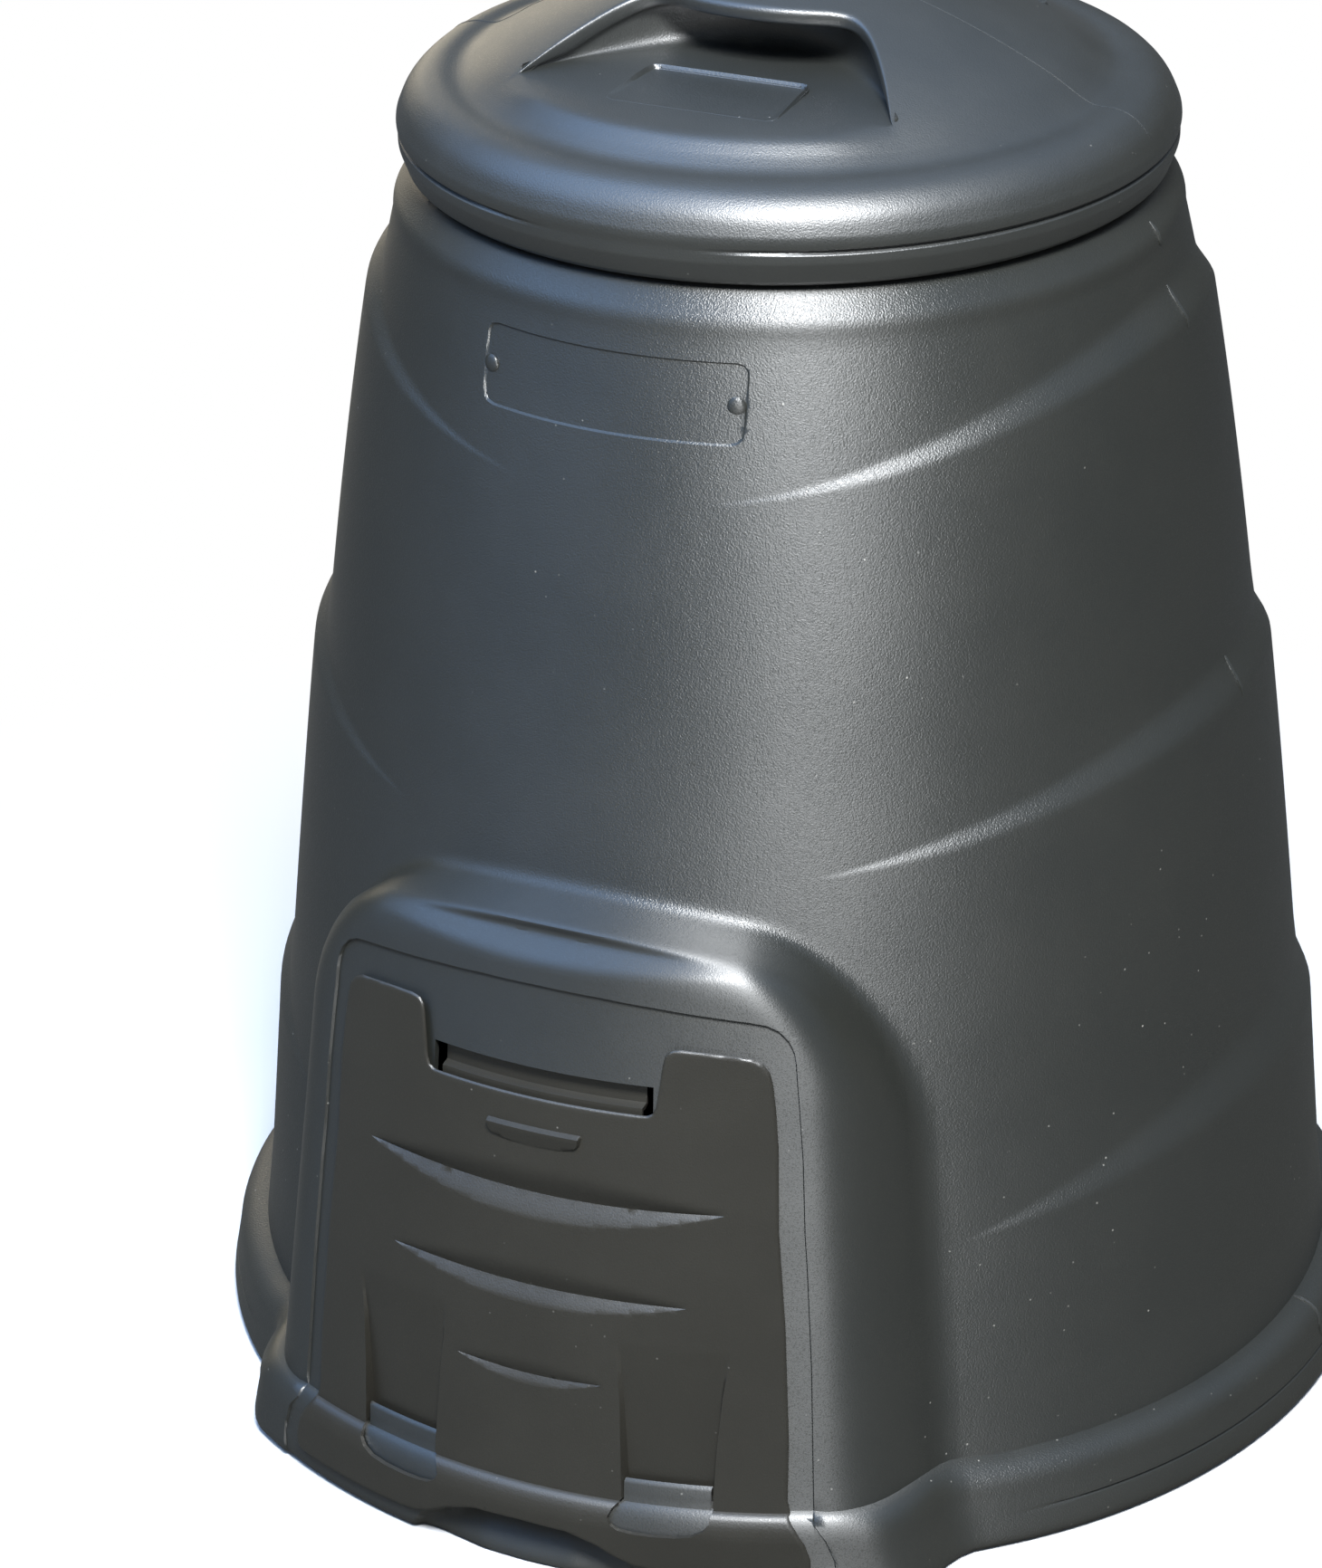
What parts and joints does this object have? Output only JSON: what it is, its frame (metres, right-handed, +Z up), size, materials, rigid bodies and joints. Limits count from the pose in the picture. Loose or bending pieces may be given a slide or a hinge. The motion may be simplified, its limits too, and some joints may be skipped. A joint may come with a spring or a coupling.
{
  "type": "garden compost bin",
  "caption": "Round tapering garden compost bin with a loose conical lid and a lift-out hatch door low on the front.",
  "frame": {"origin": "middle of the footprint on the ground; the bin's axis stands 13.95 mm behind it, towards +Y", "axes": "+Z up along the bin's axis, -Y towards the hatch, +X to the right seen from the hatch"},
  "size_m": [0.7499, 0.7779, 0.9],
  "materials": {
    "body_plastic": "satin, fine moulded grain",
    "lid_plastic": "satin, fine moulded grain",
    "door_plastic": "dull satin"
  },
  "bodies": {
    "body": {"body": "body_plastic"},
    "lid": {"lid": "lid_plastic"},
    "hatch_door": {"hatch_door": "door_plastic"}
  },
  "joints": [
    {"name": "lid_lift", "type": "slide", "parent": "body", "child": "lid", "axis": [0, 0, 1], "range_m": [0, 0.3]},
    {"name": "door_lift", "type": "slide", "parent": "body", "child": "hatch_door", "axis": [0, 0.1127, 0.9936], "range_m": [0, 0.015]}
  ]
}
